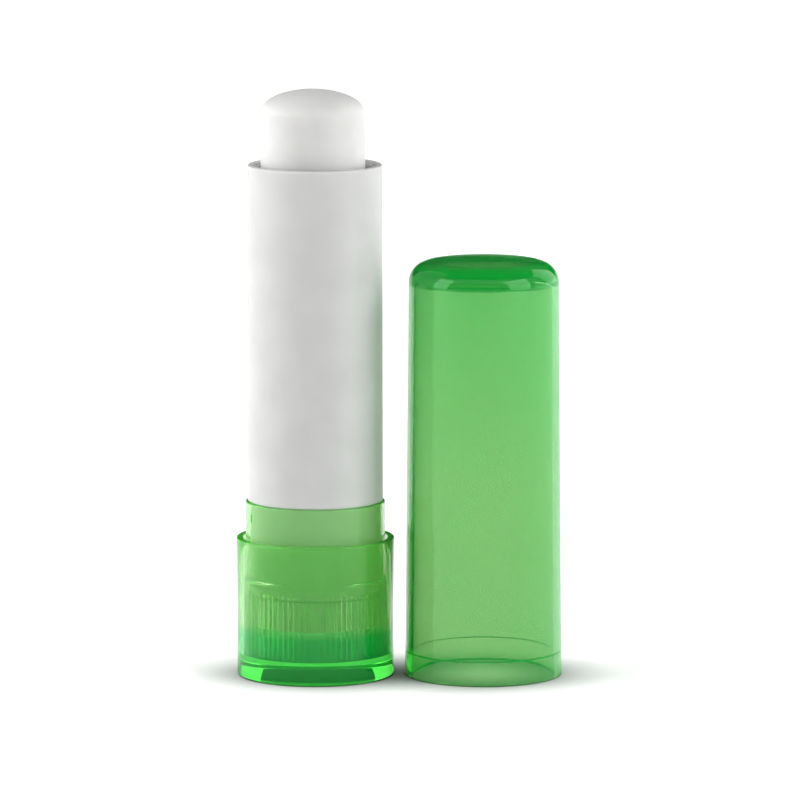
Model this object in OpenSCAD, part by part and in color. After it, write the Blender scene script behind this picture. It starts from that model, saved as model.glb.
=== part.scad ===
// Twist-up lip balm stick, with its cap taken off and stood beside it.
// The clear base cup grips a ribbed collar, and the collar grips the foot of a slotted sleeve.
// The white barrel turns on the collar. Spiral grooves in its bore lift the lugs of the balm holder.
// The slots of the sleeve let the lugs through and keep the holder from turning.
// The radii are stacked from the balm outwards, and the heights from the foot upwards.

/* [Balm] */
// Radius of the balm
balm_r = 6.28; // [5.5:0.01:7]
// Height of the domed tip
dome_h = 2.8; // [1:0.1:5]
// How much narrower the balm's foot is than its column, from shrinking in the holder
foot_shrink = 0.05; // [0.02:0.01:0.1]
// Lean of the balm out of its holder, towards the side away from the cap, in degrees
balm_lean = 0.7; // [0:0.1:1.1]
// How far the balm is wound out of its stored place
wound_out = 9.8; // [0:0.1:30]
// Stored depth of the tip below the barrel's rim
tip_drop = 0.75; // [0.3:0.05:3]

/* [Balm holder] */
// Wall of the holder
holder_wall = 0.41; // [0.3:0.01:0.7]
// Height of the holder
holder_h = 12; // [6:0.5:16]
// Thickness of the holder's floor
holder_floor = 0.8; // [0.5:0.1:1.2]
// Stored height of the holder above the barrel's shoulder
holder_lift = 0.45; // [0.4:0.05:2]
// Radius of each round lug
lug_r = 0.9; // [0.6:0.05:1.1]
// Height of the lugs' axis above the holder's underside
lug_rise = 1.3; // [1.2:0.1:3]
// How far a lug reaches into its groove
lug_reach = 0.24; // [0.15:0.01:0.25]

/* [Slotted sleeve] */
// Wall of the sleeve
sleeve_wall = 0.4; // [0.3:0.01:0.6]
// How far the sleeve's top lies below the barrel's rim
sleeve_drop = 0.25; // [0.1:0.05:1]
// Height of the splined foot
foot_h = 3.6; // [3:0.1:5]
// Thickness of the sleeve's closed end
sleeve_floor = 0.8; // [0.5:0.1:1.5]
// Number of splines on the foot
spline_count = 24; // [16:1:36]
// Depth of the splines
spline_depth = 0.2; // [0.1:0.05:0.3]

/* [Barrel] */
// Wall of the barrel at its rim
barrel_wall = 0.79; // [0.7:0.01:0.9]
// Length of the barrel above its shoulder
barrel_len = 40.55; // [38:0.05:60]
// How much the barrel widens from its rim to its shoulder
barrel_draft = 0.05; // [0:0.01:0.1]
// Rounding of the rim's outer edge
rim_round = 0.2; // [0.05:0.05:0.35]
// Chamfer of the rim's inner edge
rim_chamfer = 0.1; // [0.05:0.01:0.2]
// Wall of the neck inside the collar
neck_wall = 0.48; // [0.4:0.01:0.7]
// How far the snap bead stands out of the neck
bead_out = 0.21; // [0.1:0.01:0.25]
// Height of the snap bead
bead_h = 1; // [0.8:0.1:1.2]
// Depth of the spiral grooves
groove_depth = 0.42; // [0.35:0.01:0.45]
// Rise of a groove in one turn
groove_lead = 12; // [9:0.5:20]
// Travel of the holder from stored to fully out
travel = 30; // [10:0.5:32]

/* [Ribbed collar] */
// Wall of the collar
collar_wall = 0.55; // [0.5:0.01:0.8]
// Height of the collar above the cup's rim
collar_rise = 4.45; // [3:0.05:6]
// Number of grip ribs
rib_count = 80; // [48:1:90]
// Depth of the grip ribs
rib_depth = 0.3; // [0.2:0.01:0.4]
// Share of the pitch that the mouth of a groove between two ribs takes
groove_mouth_share = 0.6; // [0.4:0.05:0.7]
// Share of the pitch that the root of such a groove takes
groove_root_share = 0.2; // [0.1:0.05:0.3]
// Length of the ribs, from the cup's floor
rib_len = 7.9; // [7.6:0.1:8.3]
// Height of the flared ring above the ribs
flare_h = 1.4; // [0.7:0.1:1.6]
// Height of the sleeve's foot above the cup's floor
foot_lift = 3.55; // [2:0.05:4]
// Thickness of the ledge under the sleeve's foot
ledge_t = 0.8; // [0.5:0.1:1.5]
// Width of that ledge
ledge_w = 0.7; // [0.4:0.1:1.5]
// How far the cap's retaining pips stand out
pip_out = 0.12; // [0.05:0.01:0.15]
// Radius of a pip's rounding
pip_r = 0.35; // [0.25:0.05:0.5]
// Straight length of a pip
pip_len = 0.4; // [0.2:0.1:1]
// Depth of the pips' middle below the collar's top
pip_drop = 1.75; // [1.2:0.05:2.2]
// Angle of the first pip, from the front towards the side away from the cap
pip_angle = 66; // [0:1:90]

/* [Base cup] */
// Wall of the cup at its rim
cup_wall = 0.8; // [0.7:0.01:1.5]
// Height of the cup
cup_h = 16.75; // [15:0.05:20]
// Thickness of the cup's floor
cup_floor = 2.8; // [1.5:0.1:4]
// How far the waist lies inside the rim
waist_in = 0.14; // [0:0.01:0.25]
// Height of the waist
waist_h = 7.5; // [4:0.1:12]
// How far the foot lies inside the rim
foot_in = 0.06; // [0:0.01:0.2]
// Rounding of the foot's edge
foot_round = 0.4; // [0.2:0.05:1]
// Rounding of the cup's rim
cup_round = 0.15; // [0.05:0.05:0.3]

/* [Cap] */
// Room between the barrel's rim and the inside of the closed cap's top
cap_room = 3.55; // [1:0.05:20]
// Thickness of the cap's top
cap_top_t = 1.5; // [1:0.1:3]
// Wall of the cap just above its inner step
cap_wall = 0.93; // [0.8:0.01:1.5]
// How much the cap's outside narrows from the step to the top
cap_draft_out = 0.39; // [0.2:0.01:0.5]
// How much the cap's bore narrows from the step to the top
cap_draft_in = 0.26; // [0:0.01:0.28]
// Rounding of the cap's top edge
cap_round = 2.5; // [1.5:0.1:4]
// Rounding of the cap's inner top edge
cap_round_in = 1.5; // [1:0.1:3]
// Height of the inner step above the mouth
step_h = 2.8; // [2:0.1:4]
// Depth of the inner step
step_out = 0.16; // [0.1:0.01:0.25]
// How far the mouth's outside flares
mouth_flare = 0.07; // [0:0.01:0.15]
// Rounding of the mouth's outer edge
mouth_round = 0.25; // [0.1:0.05:0.35]
// Space between the base and the cap, where the cap stands beside it
stand_apart = 1.24; // [0.5:0.01:40]

/* [Clearances] */
// Gap between the balm and its holder
cast_gap = 0.03; // [0.02:0.01:0.1]
// Running gap between the holder and the sleeve
holder_gap = 0.13; // [0.1:0.01:0.25]
// Running gap between turning pieces
turn_gap = 0.06; // [0.03:0.01:0.1]
// Gap round a lug in its slot and groove
lug_gap = 0.15; // [0.1:0.01:0.25]
// Gap between gripped pieces
grip_gap = 0.02; // [0.01:0.01:0.04]
// Gap between the barrel's shoulder and the collar's top
seat_gap = 0.15; // [0.1:0.01:0.3]
// End play inside the base
end_gap = 0.4; // [0.2:0.05:0.5]
// Gap between the collar and the cap's bore
cap_gap = 0.1; // [0.05:0.01:0.2]

/* [Hidden] */

// Fineness of the round faces
$fn = 96;
// Extra reach of a cutting shape past the face that it opens
past = 1;
// Segments of a small rounding
round_steps = 6;
// Segments of the dome and of the cap's large rounding
dome_steps = 14;

// Radii, from the balm outwards
holder_bore = balm_r + cast_gap;
holder_r = holder_bore + holder_wall;
sleeve_bore = holder_r + holder_gap;
sleeve_r = sleeve_bore + sleeve_wall;
barrel_bore = sleeve_r + turn_gap;
barrel_r = barrel_bore + barrel_wall;
groove_r = barrel_bore + groove_depth;
lug_tip_r = barrel_bore + lug_reach;
neck_r = barrel_bore + neck_wall;
bead_r = neck_r + bead_out;
collar_bore = neck_r + turn_gap;
recess_r = bead_r + turn_gap;
sleeve_foot_r = collar_bore - grip_gap;
collar_r = collar_bore + collar_wall;
rib_r = collar_r + rib_depth;
cup_bore = rib_r + grip_gap;
cup_r = cup_bore + cup_wall;
cap_bore = collar_r + cap_gap;
cap_r = cap_bore + cap_wall;
mouth_r = cap_r + mouth_flare;

// Where the cap stands
cap_x = cup_r + stand_apart + mouth_r;

// Heights, from the foot upwards
rib_top = cup_floor + rib_len;
flare_top = rib_top + flare_h;
foot_z = cup_floor + foot_lift;
foot_top = foot_z + foot_h;
neck_z = foot_top + end_gap;
bead_top = neck_z + bead_h;
collar_top = cup_h + collar_rise;
shoulder_z = collar_top + seat_gap;
rim_z = shoulder_z + barrel_len;
sleeve_top = rim_z - sleeve_drop;
stored_z = shoulder_z + holder_lift;
holder_z = stored_z + wound_out;
holder_top = holder_z + holder_h;
balm_z = holder_z + holder_floor;
tip_z = rim_z - tip_drop + wound_out;
lug_z = holder_z + lug_rise;

// Heights of the cap, from its mouth upwards
cap_inside = rim_z - cup_h + cap_room;
cap_h = cap_inside + cap_top_t;

// Slots and grooves
slot_half = lug_r + lug_gap;
slot_low = stored_z + lug_rise;
slot_high = slot_low + travel;
groove_low = slot_low - slot_half;
groove_len = travel + 2 * slot_half;
// Steepness of a groove at the sleeve's outside
groove_slope = atan(groove_lead / (2 * PI * sleeve_r));
// Half of a groove's opening round the bore, in degrees
groove_half = 360 * slot_half / cos(groove_slope) / groove_lead;
// Slices of a groove in one turn
groove_slices = 30;
// Segments across a groove
groove_steps = 7;

// Points of an arc about [x, y], from angle a to angle b
function arc(x, y, r, a, b, steps) =
    [for (i = [0:steps]) [x + r * cos(a + (b - a) * i / steps), y + r * sin(a + (b - a) * i / steps)]];

// Points of a ring of teeth: two at the root and two at the crest of each tooth
function teeth(count, root_r, crest_r, root_share, crest_share) =
    [for (i = [0:count - 1], t = [-root_share, -crest_share, crest_share, root_share])
        let (r = abs(t) == root_share ? root_r : crest_r, a = (i + t / 2) * 360 / count)
        [r * cos(a), r * sin(a)]];

// The clear outer cup, with its slight waist, thick floor and rounded foot
module base_cup() {
    foot_r = cup_r - foot_in;
    color("#3DB04A") rotate_extrude() polygon(concat(
        [[0, 0]],
        arc(foot_r - foot_round, foot_round, foot_round, -90, 0, round_steps),
        [[cup_r - waist_in, waist_h]],
        arc(cup_r - cup_round, cup_h - cup_round, cup_round, 0, 90, round_steps),
        [[cup_bore + cup_round / 2, cup_h], [cup_bore, cup_h - cup_round / 2]],
        [[cup_bore, cup_floor], [0, cup_floor]]));
}

// A small upright bump that holds the cap
module pip() {
    translate([0, -(collar_r + pip_out - pip_r), collar_top - pip_drop]) {
        cylinder(r = pip_r, h = pip_len, center = true);
        for (end = [-1, 1]) translate([0, 0, end * pip_len / 2]) sphere(r = pip_r, $fn = 48);
    }
}

// The grooves between the grip ribs, as tapered prisms to cut
module rib_grooves() {
    pitch = 2 * PI * rib_r / rib_count;
    reach = rib_depth / 2;
    root_half = pitch * groove_root_share / 2;
    mouth_half = pitch * groove_mouth_share / 2;
    outer_half = mouth_half + (mouth_half - root_half) * reach / rib_depth;
    translate([0, 0, cup_floor - past]) linear_extrude(rib_len + past)
        for (i = [0:rib_count - 1]) rotate(i * 360 / rib_count) polygon([
            [collar_r, -root_half], [rib_r + reach, -outer_half],
            [rib_r + reach, outer_half], [collar_r, root_half]]);
}

// The outside of the collar: the ring that carries the ribs, its flare and the seat of the cap
module collar_outside() {
    edge = collar_wall / 4;
    rotate_extrude() polygon(concat(
        [[0, cup_floor], [rib_r, cup_floor], [rib_r, flare_top - rib_depth], [collar_r, flare_top]],
        arc(collar_r - edge, collar_top - edge, edge, 0, 90, round_steps),
        [[0, collar_top]]));
}

// The space inside the collar: clear above the ledge, with a recess for the barrel's bead
module collar_inside() {
    catch_z = bead_top + seat_gap;
    rotate_extrude() polygon([
        [0, cup_floor - past], [collar_bore, cup_floor - past], [collar_bore, foot_z - ledge_t],
        [collar_bore - ledge_w, foot_z - ledge_t], [collar_bore - ledge_w, foot_z],
        [collar_bore, foot_z], [collar_bore, foot_top], [recess_r, neck_z - seat_gap],
        [recess_r, catch_z], [collar_bore, catch_z], [collar_bore, collar_top + past],
        [0, collar_top + past]]);
}

// The clear inner sleeve of the base: ribs inside the cup, and a collar above it for the cap
module ribbed_collar() {
    color("#59B94F") difference() {
        union() {
            collar_outside();
            for (turn = [0, 180]) rotate(turn - pip_angle) pip();
        }
        rib_grooves();
        collar_inside();
    }
}

// The round-ended slots that the lugs pass through
module slots() {
    for (side = [0, 180]) rotate(side) {
        translate([sleeve_bore - past, -slot_half, slot_low])
            cube([sleeve_wall + 2 * past, 2 * slot_half, travel]);
        for (z = [slot_low, slot_high]) translate([sleeve_bore - past, 0, z])
            rotate([0, 90, 0]) cylinder(r = slot_half, h = sleeve_wall + 2 * past);
    }
}

// The white inner tube that keeps the holder from turning, with its splined foot in the collar
module slotted_sleeve() {
    spline_root = sleeve_foot_r - spline_depth;
    root_share = 0.9;
    crest_share = 0.6;
    color("#F2F2EF") difference() {
        union() {
            translate([0, 0, foot_z]) linear_extrude(foot_h)
                polygon(teeth(spline_count, spline_root, sleeve_foot_r, root_share, crest_share));
            translate([0, 0, foot_z]) cylinder(r = sleeve_r, h = sleeve_top - foot_z);
        }
        translate([0, 0, foot_z + sleeve_floor]) cylinder(r = sleeve_bore, h = sleeve_top - foot_z);
        slots();
    }
}

// One spiral groove, as a solid to cut: a ring sector carried up and round
module groove() {
    inner_r = barrel_bore - groove_depth;
    sector = concat(
        arc(0, 0, groove_r, -groove_half, groove_half, groove_steps),
        arc(0, 0, inner_r, groove_half, -groove_half, 2));
    turns = groove_len / groove_lead;
    slices = ceil(groove_slices * turns);
    translate([0, 0, groove_low]) rotate(360 * (groove_low - lug_z) / groove_lead)
        linear_extrude(groove_len, twist = -360 * turns, slices = slices, $fn = len(sector))
            polygon(sector);
}

// The outside of the barrel: the tube that shows, its shoulder, and the neck with its snap bead
module barrel_outside() {
    bead_slope = bead_out;
    rotate_extrude() polygon(concat(
        [[0, neck_z], [neck_r, neck_z], [bead_r, neck_z + bead_slope], [bead_r, bead_top]],
        [[neck_r, bead_top], [neck_r, shoulder_z], [barrel_r + barrel_draft, shoulder_z]],
        arc(barrel_r - rim_round, rim_z - rim_round, rim_round, 0, 90, round_steps),
        [[0, rim_z]]));
}

// The white barrel, which turns on the collar
module barrel() {
    color("#EFEFED") difference() {
        barrel_outside();
        translate([0, 0, neck_z - past]) cylinder(r = barrel_bore, h = rim_z - neck_z + 2 * past);
        translate([0, 0, rim_z - rim_chamfer])
            cylinder(r1 = barrel_bore, r2 = barrel_bore + rim_chamfer + past, h = rim_chamfer + past);
        for (side = [0, 180]) rotate(side) groove();
    }
}

// The cup that holds the foot of the balm, with a round lug on each side
module bullet_cup() {
    color("#F0F0EC") difference() {
        union() {
            translate([0, 0, holder_z]) cylinder(r = holder_r, h = holder_h);
            for (side = [0, 180]) rotate(side) translate([0, 0, lug_z])
                rotate([0, 90, 0]) cylinder(r = lug_r, h = lug_tip_r, $fn = 48);
        }
        translate([0, 0, balm_z]) cylinder(r = holder_bore, h = holder_h);
    }
}

// The cast balm: its foot fills the holder, and above it the column leans a little
module balm() {
    column = (tip_z - holder_top) / cos(balm_lean);
    dome = [for (i = [0:dome_steps]) let (a = 90 * i / dome_steps)
        [balm_r * cos(a), column - dome_h + dome_h * sin(a)]];
    root = [[0, -balm_r / 4], [balm_r / 2, -balm_r / 4], [balm_r, 0]];
    color("#F1F0EC") union() {
        translate([0, 0, balm_z]) cylinder(r = balm_r - foot_shrink, h = holder_top - balm_z);
        translate([0, 0, holder_top]) rotate([0, -balm_lean, 0])
            rotate_extrude() polygon(concat(root, dome));
    }
}

// The clear cap, standing on its mouth beside the stick
module cap() {
    top_r = cap_r - cap_draft_out;
    top_bore = cap_bore - cap_draft_in;
    mouth_bore = cap_bore + step_out;
    color("#3FAE49") translate([cap_x, 0, 0]) rotate_extrude() polygon(concat(
        [[mouth_bore, 0]],
        arc(mouth_r - mouth_round, mouth_round, mouth_round, -90, 0, round_steps),
        [[cap_r, step_h]],
        arc(top_r - cap_round, cap_h - cap_round, cap_round, 0, 90, dome_steps),
        [[0, cap_h], [0, cap_inside]],
        arc(top_bore - cap_round_in, cap_inside - cap_round_in, cap_round_in, 90, 0, round_steps),
        [[cap_bore, step_h + step_out], [mouth_bore, step_h]]));
}

base_cup();
ribbed_collar();
slotted_sleeve();
barrel();
bullet_cup();
balm();
cap();
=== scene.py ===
"""A twist-up lip balm stick on a white table: its clear green cap stands beside it."""

import math

import bmesh
import bpy
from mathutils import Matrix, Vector, noise


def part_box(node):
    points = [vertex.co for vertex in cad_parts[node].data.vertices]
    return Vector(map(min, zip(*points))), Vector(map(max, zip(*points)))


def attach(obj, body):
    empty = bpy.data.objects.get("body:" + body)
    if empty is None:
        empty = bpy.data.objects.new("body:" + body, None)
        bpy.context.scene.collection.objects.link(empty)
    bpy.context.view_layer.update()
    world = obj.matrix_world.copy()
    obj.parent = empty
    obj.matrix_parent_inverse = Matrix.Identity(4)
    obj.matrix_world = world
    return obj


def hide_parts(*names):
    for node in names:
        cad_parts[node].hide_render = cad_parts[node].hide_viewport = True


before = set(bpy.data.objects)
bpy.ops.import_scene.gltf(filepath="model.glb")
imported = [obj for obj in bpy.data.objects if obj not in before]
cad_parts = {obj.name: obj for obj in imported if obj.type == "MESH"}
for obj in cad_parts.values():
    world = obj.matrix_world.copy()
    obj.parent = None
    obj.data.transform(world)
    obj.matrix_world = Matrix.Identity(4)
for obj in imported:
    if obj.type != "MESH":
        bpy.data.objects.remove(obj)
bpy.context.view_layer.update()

MM = 0.001
# Two lengths in millimetres that differ by less than this are the same
TINY = 0.001

# Heights of the pieces, read from the frame, in millimetres above the table
CUP_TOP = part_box("base_cup")[1].z / MM
COLLAR_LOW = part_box("ribbed_collar")[0].z / MM
COLLAR_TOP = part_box("ribbed_collar")[1].z / MM
BALM_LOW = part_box("balm")[0].z / MM
BALM_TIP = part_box("balm")[1].z / MM
HOLDER_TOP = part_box("bullet_cup")[1].z / MM
CAP_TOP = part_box("cap")[1].z / MM
CAP_X = (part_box("cap")[0].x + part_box("cap")[1].x) / 2 / MM

# Radii and steps of the clear base, in millimetres and degrees, as in the part's source
CUP_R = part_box("base_cup")[1].y / MM
CUP_WALL = 0.80
CUP_BORE = CUP_R - CUP_WALL
WAIST_IN = 0.14
WAIST_H = 7.5
FOOT_IN = 0.06
FOOT_ROUND = 0.4
RIM_ROUND = 0.15
RIB_R = CUP_BORE - 0.02
RIB_DEPTH = 0.30
RIB_COUNT = 80
RIB_HALF = 0.36
RIB_FLANK = 0.14
RIB_TOP = COLLAR_LOW + 7.9
FLARE_TOP = RIB_TOP + 1.4
COLLAR_R = RIB_R - RIB_DEPTH
COLLAR_BORE = COLLAR_R - 0.55
COLLAR_EDGE = 0.14
LEDGE_LOW = COLLAR_LOW + 2.75
LEDGE_TOP = COLLAR_LOW + 3.55
LEDGE_WIDTH = 0.7
RECESS_LOW = COLLAR_LOW + 7.15
RECESS_FULL = COLLAR_LOW + 7.4
RECESS_TOP = COLLAR_LOW + 8.7
RECESS_R = COLLAR_BORE + 0.21
RIB_END = 0.15
FLARE_END = 0.05
PIP_ANGLES = (-156, 24)
PIP_Z = COLLAR_TOP - 1.75
PIP_OUT = 0.12
PIP_HALF_WIDTH = 0.27
PIP_HALF_HEIGHT = 0.5

# The cap, in millimetres
CAP_R = 9.43
CAP_MOUTH_R = 9.50
CAP_TOP_R = 9.04
CAP_BORE = 8.50
CAP_TOP_BORE = 8.24
CAP_MOUTH_BORE = 8.66
CAP_STEP = 2.8
CAP_STEP_SLOPE = 0.16
CAP_TOP_T = 1.5
CAP_ROUND = 2.5
CAP_RING = 3
CAP_ROUND_IN = 1.5
CAP_MOUTH_ROUND = 0.25

# The balm, in millimetres and degrees. Its cast surface swells by so much, in waves of about 3 mm
BALM_R = 6.28
DOME_H = 2.8
BALM_LEAN = 0.7
SWELL = 0.012
SWELL_WAVES = 0.35

# How far the table's top lies below the feet, so that the two faces don't coincide, in millimetres
TABLE_GAP = 0.03

# How far the table's seen colour is lifted towards white by a glow: each pair is a distance from the stick
# in metres, and the lift there. The weaker glow close to the stick is painted shade.
LIFT_NEAR = (0.10, 0.42)
LIFT_FAR = (0.95, 1.0)
# How far the pieces shade the lift, and how deeply: this is painted shade on the table's glow. And how far
# the painted contact shadow reaches round a foot that all but touches the table. Both reaches are in
# metres.
SHADE_REACH = 0.009
SHADE_DEPTH = 1.5
CONTACT_SHADOW_REACH = 0.007

# Where the room turns from pale to dark, and from dark to the light of the ceiling: heights on a sphere
# with a radius of 1
HORIZON = (0.06, 0.12)
CEILING = (0.25, 0.60)

# Where the lamps point, how far off they stand and how tall they are, in metres, and how high, in degrees
LAMP_AIM = (0.010, 0, 0.035)
LAMP_DISTANCE = 0.60
LAMP_TALL = 0.50
LAMP_HEIGHT = 22

# How the green plastic tints what its faces reflect
GREEN_GLINT = (0.45, 0.85, 0.5, 1)


# Colour and node helpers

def linear(hex_colour):
    """The linear colour of an sRGB hex value, with an alpha of 1."""
    channels = [int(hex_colour[i:i + 2], 16) / 255 for i in (1, 3, 5)]
    return [c / 12.92 if c <= 0.04045 else ((c + 0.055) / 1.055) ** 2.4 for c in channels] + [1.0]


def add(tree, kind, links=None, **settings):
    """Adds a node. A setting named after an input sets that input, and any other sets the node itself."""
    node = tree.nodes.new(kind)
    for name, value in settings.items():
        socket = name.replace("_", " ")
        if socket in node.inputs:
            node.inputs[socket].default_value = value
        else:
            setattr(node, name, value)
    for socket, source in (links or {}).items():
        tree.links.new(source, node.inputs[socket])
    return node


def new_material(name):
    """An empty material and its node tree, with all of its nodes cleared."""
    material = bpy.data.materials.new(name)
    material.use_nodes = True
    material.node_tree.nodes.clear()
    return material, material.node_tree


def per_mm(size_mm):
    """The scale of a texture whose features are size_mm across, in object coordinates."""
    return 1 / (size_mm * MM)


def wear(tree, size_mm, low, high, detail=3.0):
    """A value that wanders between low and high over patches of size_mm."""
    place = add(tree, "ShaderNodeTexCoord")
    cloud = add(tree, "ShaderNodeTexNoise", {"Vector": place.outputs["Object"]},
                Scale=per_mm(size_mm), Detail=detail)
    spread = add(tree, "ShaderNodeMapRange", {"Value": cloud.outputs["Fac"]},
                 From_Min=0.3, From_Max=0.7, To_Min=low, To_Max=high)
    return spread.outputs["Result"]


# Materials

def clear_green_styrenic(name, heights, low, high, absorbed, haze_share):
    """Clear SAN, dyed green and moulded against polished steel, with a slight haze from its dye.

    The dye takes some colours at once, however thin the wall is, and the rest by depth: absorbed is what
    each millimetre takes. So walls look a fresh light green and deep parts stay a vivid green. low and high
    give the tint of each wall crossed and the colour of the haze, below and above the two heights (in
    millimetres). The change from low to high is painted shade, not dye: as given below, it makes the base's
    foot darker and a deeper green and the cap darker towards its top.
    """
    material, tree = new_material(name)
    place = add(tree, "ShaderNodeTexCoord")
    axes = add(tree, "ShaderNodeSeparateXYZ", {"Vector": place.outputs["Object"]})
    # Painted shade: the tint of the faces and the haze colour change with height, from low to high across
    # these heights.
    painted_shade_climb = add(tree, "ShaderNodeMapRange", {"Value": axes.outputs["Z"]},
                From_Min=heights[0] * MM, From_Max=heights[1] * MM)
    tints = []
    for below, above in zip(low, high):
        dye = add(tree, "ShaderNodeMix", {"Factor": painted_shade_climb.outputs["Result"]}, data_type="RGBA")
        dye.inputs["A"].default_value = (*below, 1)
        dye.inputs["B"].default_value = (*above, 1)
        tints.append(dye.outputs["Result"])
    ripple = add(tree, "ShaderNodeBump", {"Height": wear(tree, 3.5, 0.0, 1.0, 1.0)},
                 Strength=1.0, Distance=0.0015 * MM)
    shell = add(tree, "ShaderNodeBsdfPrincipled",
                {"Base Color": tints[0], "Roughness": wear(tree, 1.2, 0.012, 0.035),
                 "Normal": ripple.outputs["Normal"]},
                IOR=1.57, Transmission_Weight=1.0)
    shell.inputs["Specular Tint"].default_value = GREEN_GLINT
    through = add(tree, "ShaderNodeBsdfTranslucent", {"Color": tints[1]})
    back = add(tree, "ShaderNodeBsdfDiffuse", {"Color": tints[1]})
    haze = add(tree, "ShaderNodeMixShader", {1: back.outputs["BSDF"], 2: through.outputs["BSDF"]}, Fac=0.5)
    body = add(tree, "ShaderNodeMixShader", {1: shell.outputs["BSDF"], 2: haze.outputs["Shader"]},
               Fac=haze_share)
    tint = add(tree, "ShaderNodeVolumeAbsorption")
    densest = max(absorbed) / MM
    tint.inputs["Color"].default_value = (*(1 - part / MM / densest for part in absorbed), 1)
    tint.inputs["Density"].default_value = densest
    add(tree, "ShaderNodeOutputMaterial",
        {"Surface": body.outputs["Shader"], "Volume": tint.outputs["Volume"]})
    return material


def white_polypropylene():
    """Opaque white PP with a satin mould finish: a broad soft highlight and a faint cloudiness of flow."""
    material, tree = new_material("white_polypropylene_satin")
    cloud = wear(tree, 6.0, 0.0, 1.0, 2.0)
    colour = add(tree, "ShaderNodeMix", {"Factor": cloud}, data_type="RGBA")
    colour.inputs["A"].default_value = linear("#CBCBCA")
    colour.inputs["B"].default_value = linear("#D2D2D1")
    grain = add(tree, "ShaderNodeBump", {"Height": wear(tree, 0.25, 0.0, 1.0, 2.0)},
                Strength=0.4, Distance=0.004 * MM)
    skin = add(tree, "ShaderNodeBsdfPrincipled",
               {"Base Color": colour.outputs["Result"], "Roughness": wear(tree, 2.0, 0.32, 0.42),
                "Normal": grain.outputs["Normal"]},
               IOR=1.49, Subsurface_Weight=0.6, Subsurface_Scale=1.2 * MM)
    skin.inputs["Subsurface Radius"].default_value = (1.0, 1.0, 1.0)
    add(tree, "ShaderNodeOutputMaterial", {"Surface": skin.outputs["BSDF"]})
    return material


def cast_balm():
    """Balm of wax and oils, poured and flamed smooth: milky depth, an even sheen and a few low dimples."""
    material, tree = new_material("cast_lip_balm_wax")
    cloud = wear(tree, 3.0, 0.0, 1.0, 3.0)
    colour = add(tree, "ShaderNodeMix", {"Factor": cloud}, data_type="RGBA")
    colour.inputs["A"].default_value = linear("#D6D6D5")
    colour.inputs["B"].default_value = linear("#DCDCDB")
    dimples = add(tree, "ShaderNodeBump", {"Height": wear(tree, 1.6, 0.0, 1.0, 2.0)},
                  Strength=0.5, Distance=0.012 * MM)
    wax = add(tree, "ShaderNodeBsdfPrincipled",
              {"Base Color": colour.outputs["Result"], "Roughness": wear(tree, 1.0, 0.36, 0.5),
               "Normal": dimples.outputs["Normal"]},
              IOR=1.45, Subsurface_Weight=1.0, Subsurface_Scale=4.0 * MM)
    wax.inputs["Subsurface Radius"].default_value = (1.0, 0.96, 0.9)
    add(tree, "ShaderNodeOutputMaterial", {"Surface": wax.outputs["BSDF"]})
    return material


def white_table():
    """A matt white table. What the eye and the clear plastic see of it is lifted to white by a glow,
    shadows stay. Close to the pieces the glow is weakened by painted shade, and round the feet the table's
    colour is darkened by a painted contact shadow.
    """
    material, tree = new_material("white_table_matt")
    # Painted contact shadow: ambient occlusion darkens the table's own colour round the feet.
    painted_contact_shadow = add(tree, "ShaderNodeAmbientOcclusion", samples=8, Distance=CONTACT_SHADOW_REACH)
    painted_contact_shadow.inputs["Color"].default_value = linear("#F0F0F0")
    matt_paint_and_contact_shadow = add(tree, "ShaderNodeBsdfDiffuse", {"Color": painted_contact_shadow.outputs["Color"]})
    ray = add(tree, "ShaderNodeLightPath")
    seen = add(tree, "ShaderNodeMath", {0: ray.outputs["Is Camera Ray"], 1: ray.outputs["Is Glossy Ray"]},
               operation="MAXIMUM")
    seen = add(tree, "ShaderNodeMath", {0: seen.outputs[0], 1: ray.outputs["Is Transmission Ray"]},
               operation="MAXIMUM")
    place = add(tree, "ShaderNodeTexCoord")
    away = add(tree, "ShaderNodeVectorMath", {0: place.outputs["Object"]}, operation="LENGTH")
    # Painted shade: the glow is weaker close to the stick, from LIFT_NEAR out to LIFT_FAR.
    white = add(tree, "ShaderNodeMapRange", {"Value": away.outputs["Value"]},
                From_Min=LIFT_NEAR[0], From_Max=LIFT_FAR[0], To_Min=LIFT_NEAR[1], To_Max=LIFT_FAR[1])
    # Painted shade: ambient occlusion weakens the glow where the pieces stand close and inside the cap.
    painted_shade_occlusion = add(tree, "ShaderNodeAmbientOcclusion", samples=8, Distance=SHADE_REACH)
    painted_shade_open = add(tree, "ShaderNodeMath", {0: painted_shade_occlusion.outputs["AO"]}, operation="POWER")
    painted_shade_open.inputs[1].default_value = SHADE_DEPTH
    lift = add(tree, "ShaderNodeMath", {0: white.outputs["Result"], 1: painted_shade_open.outputs[0]},
               operation="MULTIPLY")
    lift = add(tree, "ShaderNodeMath", {0: seen.outputs[0], 1: lift.outputs[0]}, operation="MULTIPLY")
    glow = add(tree, "ShaderNodeEmission", {"Strength": lift.outputs[0]})
    both = add(tree, "ShaderNodeAddShader", {0: matt_paint_and_contact_shadow.outputs["BSDF"], 1: glow.outputs["Emission"]})
    add(tree, "ShaderNodeOutputMaterial", {"Surface": both.outputs["Shader"]})
    return material


# Mesh helpers

def arc(x, z, radius, start, end, steps):
    """Points of an arc about (x, z), from angle start to angle end, in degrees."""
    turns = [math.radians(start + (end - start) * i / steps) for i in range(steps + 1)]
    return [(x + radius * math.cos(a), z + radius * math.sin(a)) for a in turns]


def straight(low, high, steps):
    """Points between two points, both left out."""
    return [tuple(a + (b - a) * i / steps for a, b in zip(low, high)) for i in range(1, steps)]


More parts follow.
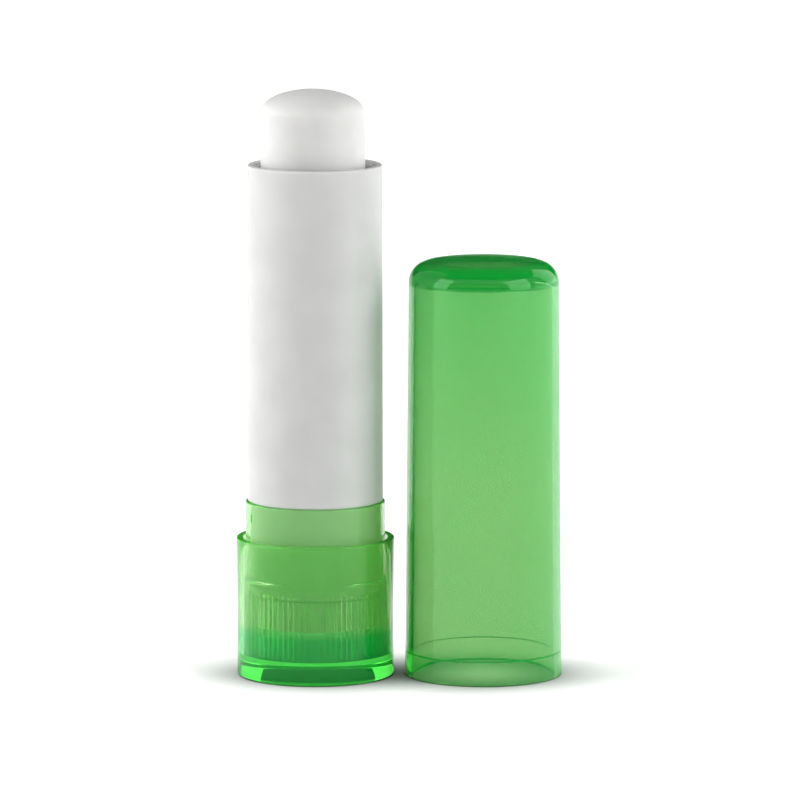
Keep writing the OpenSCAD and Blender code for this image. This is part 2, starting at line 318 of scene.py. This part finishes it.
def revolve(name, outline, segments, shape=None, sharp=28):
    """A closed skin turned from an outline of (radius, height) in millimetres.

    shape(radius, height, angle) moves a point: it gives x, y and z in millimetres. An outline that starts
    and ends on the axis is closed by its two tips, and any other by its own last and first points. Edges
    that bend by more than sharp degrees stay crisp.
    """
    if shape is None:
        def shape(radius, height, angle):
            return radius * math.cos(angle), radius * math.sin(angle), height
    mesh = bmesh.new()
    rings = []
    for radius, height in outline:
        if radius < TINY:
            rings.append([mesh.verts.new(Vector(shape(0, height, 0)) * MM)] * segments)
            continue
        turns = [2 * math.pi * i / segments for i in range(segments)]
        rings.append([mesh.verts.new(Vector(shape(radius, height, a)) * MM) for a in turns])
    closed = outline[0][0] > TINY
    pairs = list(zip(rings, rings[1:] + rings[:1] if closed else rings[1:]))
    for low, high in pairs:
        for i in range(segments):
            j = (i + 1) % segments
            corners = [low[i], low[j], high[j], high[i]]
            corners = [v for k, v in enumerate(corners) if v not in corners[:k]]
            mesh.faces.new(corners).smooth = True
    bmesh.ops.recalc_face_normals(mesh, faces=mesh.faces)
    for edge in mesh.edges:
        edge.smooth = edge.calc_face_angle(0) < math.radians(sharp)
    data = bpy.data.meshes.new(name)
    mesh.to_mesh(data)
    mesh.free()
    piece = bpy.data.objects.new(name, data)
    bpy.context.scene.collection.objects.link(piece)
    return piece


def finish_piece(piece, material, body, slot, *nodes):
    """Gives a piece its material and its body, and hides the CAD nodes that it stands for. slot is not
    used.
    """
    piece.data.materials.append(material)
    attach(piece, body)
    if nodes:
        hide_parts(*nodes)
    return piece


# The object's pieces

def base_cup_shell(green):
    """The smooth outer cup: a slight waist, a thick floor and a small foot radius."""
    foot_r = CUP_R - FOOT_IN
    outline = (
        [(0, 0)]
        + arc(foot_r - FOOT_ROUND, FOOT_ROUND, FOOT_ROUND, -90, 0, 10)
        + straight((foot_r, FOOT_ROUND), (CUP_R - WAIST_IN, WAIST_H), 6)
        + [(CUP_R - WAIST_IN, WAIST_H)]
        + straight((CUP_R - WAIST_IN, WAIST_H), (CUP_R, CUP_TOP - RIM_ROUND), 6)
        + arc(CUP_R - RIM_ROUND, CUP_TOP - RIM_ROUND, RIM_ROUND, 0, 90, 6)
        + arc(CUP_BORE + RIM_ROUND / 2, CUP_TOP - RIM_ROUND / 2, RIM_ROUND / 2, 90, 180, 4)
        + [(CUP_BORE, COLLAR_LOW), (0, COLLAR_LOW)]
    )
    piece = revolve("base_cup_shell", outline, 384)
    return finish_piece(piece, green, "base", "clear_green_styrenic", "base_cup")


def rib_wave(angle):
    """The share of a rib's depth at an angle: 1 on a crest, 0 in a groove, with rounded flanks.

    RIB_HALF is half the width of a rib with its flanks, and RIB_FLANK the width of one flank. Both are
    shares of the ribs' pitch.
    """
    across = abs((angle * RIB_COUNT / (2 * math.pi) + 0.5) % 1 - 0.5)
    fade = min(max((RIB_HALF - across) / RIB_FLANK, 0), 1)
    return fade * fade * (3 - 2 * fade)


def collar_skin(radius, height, angle):
    """Puts the ribs and the two pips on the outside of the collar."""
    if radius > RIB_R - TINY and height < RIB_TOP + TINY:
        radius = COLLAR_R + RIB_DEPTH * rib_wave(angle)
    if radius > COLLAR_R - TINY and height > CUP_TOP:
        for pip in PIP_ANGLES:
            across = math.remainder(angle - math.radians(pip), 2 * math.pi) * COLLAR_R / PIP_HALF_WIDTH
            along = (height - PIP_Z) / PIP_HALF_HEIGHT
            inside = max(0, 1 - across ** 2 - along ** 4)
            radius += PIP_OUT * math.sqrt(inside)
    return radius * math.cos(angle), radius * math.sin(angle), height


def collar_sleeve(green):
    """The clear inner sleeve: grip ribs in the cup, a flared ring above, and the collar for the cap."""
    outline = (
        [(COLLAR_BORE, COLLAR_LOW), (RIB_R, COLLAR_LOW)]
        + straight((RIB_R, COLLAR_LOW), (RIB_R, RIB_TOP), 8)
        + [(RIB_R, RIB_TOP), (RIB_R, RIB_TOP + RIB_END), (RIB_R, FLARE_TOP - RIB_DEPTH)]
        + arc(RIB_R - RIB_DEPTH, FLARE_TOP - RIB_DEPTH, RIB_DEPTH, 0, 60, 6)
        + [(COLLAR_R, FLARE_TOP + FLARE_END), (COLLAR_R, CUP_TOP)]
        + straight((COLLAR_R, CUP_TOP), (COLLAR_R, COLLAR_TOP - COLLAR_EDGE), 28)
        + arc(COLLAR_R - COLLAR_EDGE, COLLAR_TOP - COLLAR_EDGE, COLLAR_EDGE, 0, 90, 6)
        + [(COLLAR_BORE, COLLAR_TOP), (COLLAR_BORE, RECESS_TOP), (RECESS_R, RECESS_TOP)]
        + [(RECESS_R, RECESS_FULL), (COLLAR_BORE, RECESS_LOW), (COLLAR_BORE, LEDGE_TOP)]
        + [(COLLAR_BORE - LEDGE_WIDTH, LEDGE_TOP), (COLLAR_BORE - LEDGE_WIDTH, LEDGE_LOW)]
        + [(COLLAR_BORE, LEDGE_LOW)]
    )
    piece = revolve("collar_sleeve", outline, RIB_COUNT * 12, collar_skin)
    return finish_piece(piece, green, "base", "clear_green_styrenic", "ribbed_collar")


def cap_shell(green):
    """The clear cap: drafted inside and out, with a thick top, a soft shoulder and a step in its mouth."""
    inside = CAP_TOP - CAP_TOP_T
    outline = (
        [(0, CAP_TOP), (CAP_TOP_R - CAP_ROUND - CAP_RING, CAP_TOP)]
        + arc(CAP_TOP_R - CAP_ROUND, CAP_TOP - CAP_ROUND, CAP_ROUND, 90, 0, 24)
        + straight((CAP_TOP_R, CAP_TOP - CAP_ROUND), (CAP_R, CAP_STEP), 12)
        + [(CAP_R, CAP_STEP)]
        + arc(CAP_MOUTH_R - CAP_MOUTH_ROUND, CAP_MOUTH_ROUND, CAP_MOUTH_ROUND, 0, -90, 8)
        + [(CAP_MOUTH_BORE, 0), (CAP_MOUTH_BORE, CAP_STEP), (CAP_BORE, CAP_STEP + CAP_STEP_SLOPE)]
        + straight((CAP_BORE, CAP_STEP + CAP_STEP_SLOPE), (CAP_TOP_BORE, inside - CAP_ROUND_IN), 12)
        + arc(CAP_TOP_BORE - CAP_ROUND_IN, inside - CAP_ROUND_IN, CAP_ROUND_IN, 0, 90, 14)
        + [(0, inside)]
    )
    piece = revolve("cap_shell", outline, 384, lambda radius, height, angle: (
        CAP_X + radius * math.cos(angle), radius * math.sin(angle), height))
    return finish_piece(piece, green, "cap", "clear_green_styrenic", "cap")


def balm_skin(radius, height, angle):
    """Leans the column out of its holder and gives the cast surface its low unevenness."""
    lean = math.tan(math.radians(BALM_LEAN)) * max(0, height - HOLDER_TOP)
    x, y = radius * math.cos(angle), radius * math.sin(angle)
    swell = SWELL * noise.noise(Vector((x, y, height)) * SWELL_WAVES)
    return x * (1 + swell / BALM_R) - lean, y * (1 + swell / BALM_R), height


def balm_stick(wax):
    """The cast balm, with its foot in the holder and its domed tip."""
    equator = BALM_TIP - DOME_H
    dome = [(BALM_R * math.cos(a), equator + DOME_H * math.sin(a))
            for a in (math.radians(90 * i / 36) for i in range(1, 36))]
    outline = (
        [(0, BALM_LOW), (BALM_R, BALM_LOW)]
        + straight((BALM_R, BALM_LOW), (BALM_R, equator), 60)
        + [(BALM_R, equator)] + dome + [(0, BALM_TIP)]
    )
    piece = revolve("balm_stick", outline, 192, balm_skin)
    return finish_piece(piece, wax, "bullet", "balm_wax", "balm")


# The table, the light and the camera

def table():
    """A wide white table top, just under the feet."""
    mesh = bmesh.new()
    bmesh.ops.create_grid(mesh, x_segments=8, y_segments=8, size=4.0)
    bmesh.ops.translate(mesh, verts=mesh.verts, vec=(0, 0, -TABLE_GAP * MM))
    data = bpy.data.meshes.new("table_top")
    mesh.to_mesh(data)
    mesh.free()
    top = bpy.data.objects.new("table_top", data)
    bpy.context.scene.collection.objects.link(top)
    top.data.materials.append(white_table())


def softbox(name, side, width, radiance):
    """An even upright lamp. side is in degrees about the object, from the viewer towards the left."""
    turn, rise = math.radians(side), math.radians(LAMP_HEIGHT)
    aim = Vector(LAMP_AIM)
    away = Vector((-math.sin(turn) * math.cos(rise), -math.cos(turn) * math.cos(rise), math.sin(rise)))
    spot = aim + LAMP_DISTANCE * away
    lamp = bpy.data.lights.new(name, "AREA")
    lamp.shape = "RECTANGLE"
    lamp.size = width
    lamp.size_y = LAMP_TALL
    lamp.energy = radiance * math.pi * width * LAMP_TALL
    box = bpy.data.objects.new(name, lamp)
    box.location = spot
    box.rotation_euler = (aim - spot).to_track_quat("-Z", "Y").to_euler()
    box.visible_camera = False
    bpy.context.scene.collection.objects.link(box)


def room(pale, dark, ceiling):
    """The room round the table: pale up to the horizon, a dark band above it, and a soft ceiling."""
    world = bpy.data.worlds.new("room")
    bpy.context.scene.world = world
    world.use_nodes = True
    tree = world.node_tree
    tree.nodes.clear()
    place = add(tree, "ShaderNodeTexCoord")
    axes = add(tree, "ShaderNodeSeparateXYZ", {"Vector": place.outputs["Generated"]})
    band = add(tree, "ShaderNodeMapRange", {"Value": axes.outputs["Z"]},
               From_Min=HORIZON[0], From_Max=HORIZON[1], To_Min=pale, To_Max=dark)
    above = add(tree, "ShaderNodeMapRange", {"Value": axes.outputs["Z"]},
                From_Min=CEILING[0], From_Max=CEILING[1], To_Min=0.0, To_Max=ceiling)
    level = add(tree, "ShaderNodeMath", {0: band.outputs["Result"], 1: above.outputs["Result"]},
                operation="ADD")
    sky = add(tree, "ShaderNodeBackground", {"Strength": level.outputs[0]})
    sky.inputs["Color"].default_value = (1, 1, 1, 1)
    add(tree, "ShaderNodeOutputWorld", {"Surface": sky.outputs["Background"]})


def camera(aim, distance, height, lens):
    """A long lens that looks down at the object from the front."""
    rise = math.radians(height)
    data = bpy.data.cameras.new("camera")
    data.sensor_width = 36
    data.lens = lens
    data.clip_start = 0.01
    view = bpy.data.objects.new("camera", data)
    aim = Vector(aim)
    view.location = aim + distance * Vector((0, -math.cos(rise), math.sin(rise)))
    view.rotation_euler = (aim - view.location).to_track_quat("-Z", "Y").to_euler()
    bpy.context.scene.collection.objects.link(view)
    bpy.context.scene.camera = view


camera(aim=(0.0102, 0, 0.03335), distance=0.9624, height=8.5, lens=360)
table()
room(pale=1.0, dark=0.03, ceiling=0.2)
softbox("left_back", side=118, width=0.46, radiance=2.0)
softbox("left_side", side=78, width=0.46, radiance=3.9)
softbox("right_front", side=-58, width=0.40, radiance=4.0)
softbox("right_side", side=-90, width=0.40, radiance=0.3)
softbox("right_back", side=-128, width=0.40, radiance=1.8)

# The low and high colours hold painted shade: the base is tinted darker and a deeper green at its foot, the
# cap darker towards its top.
base_green = clear_green_styrenic(
    "clear_green_san_base", heights=(5.4, 6.6),
    low=((0.55, 0.98, 0.68), (0.0, 0.88, 0.16)),
    high=((1.0, 1.0, 0.92), (0.27, 1.0, 0.16)),
    absorbed=(0.10, 0.005, 0.12), haze_share=0.20)
cap_green = clear_green_styrenic(
    "clear_green_san_cap", heights=(22, 50),
    low=((0.85, 0.84, 0.64), (0.0, 0.85, 0.12)),
    high=((0.60, 0.76, 0.50), (0.0, 0.88, 0.13)),
    absorbed=(0.17, 0.04, 0.12), haze_share=0.26)
white = white_polypropylene()
wax = cast_balm()
base_cup_shell(base_green)
collar_sleeve(base_green)
cap_shell(cap_green)
balm_stick(wax)
for node in ("barrel", "slotted_sleeve", "bullet_cup"):
    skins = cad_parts[node].data.materials
    skins.clear()
    skins.append(white)

scene = bpy.context.scene
scene.view_settings.view_transform = "Standard"
scene.cycles.max_bounces = 32
scene.cycles.transmission_bounces = 28
scene.cycles.glossy_bounces = 12
scene.cycles.volume_bounces = 2
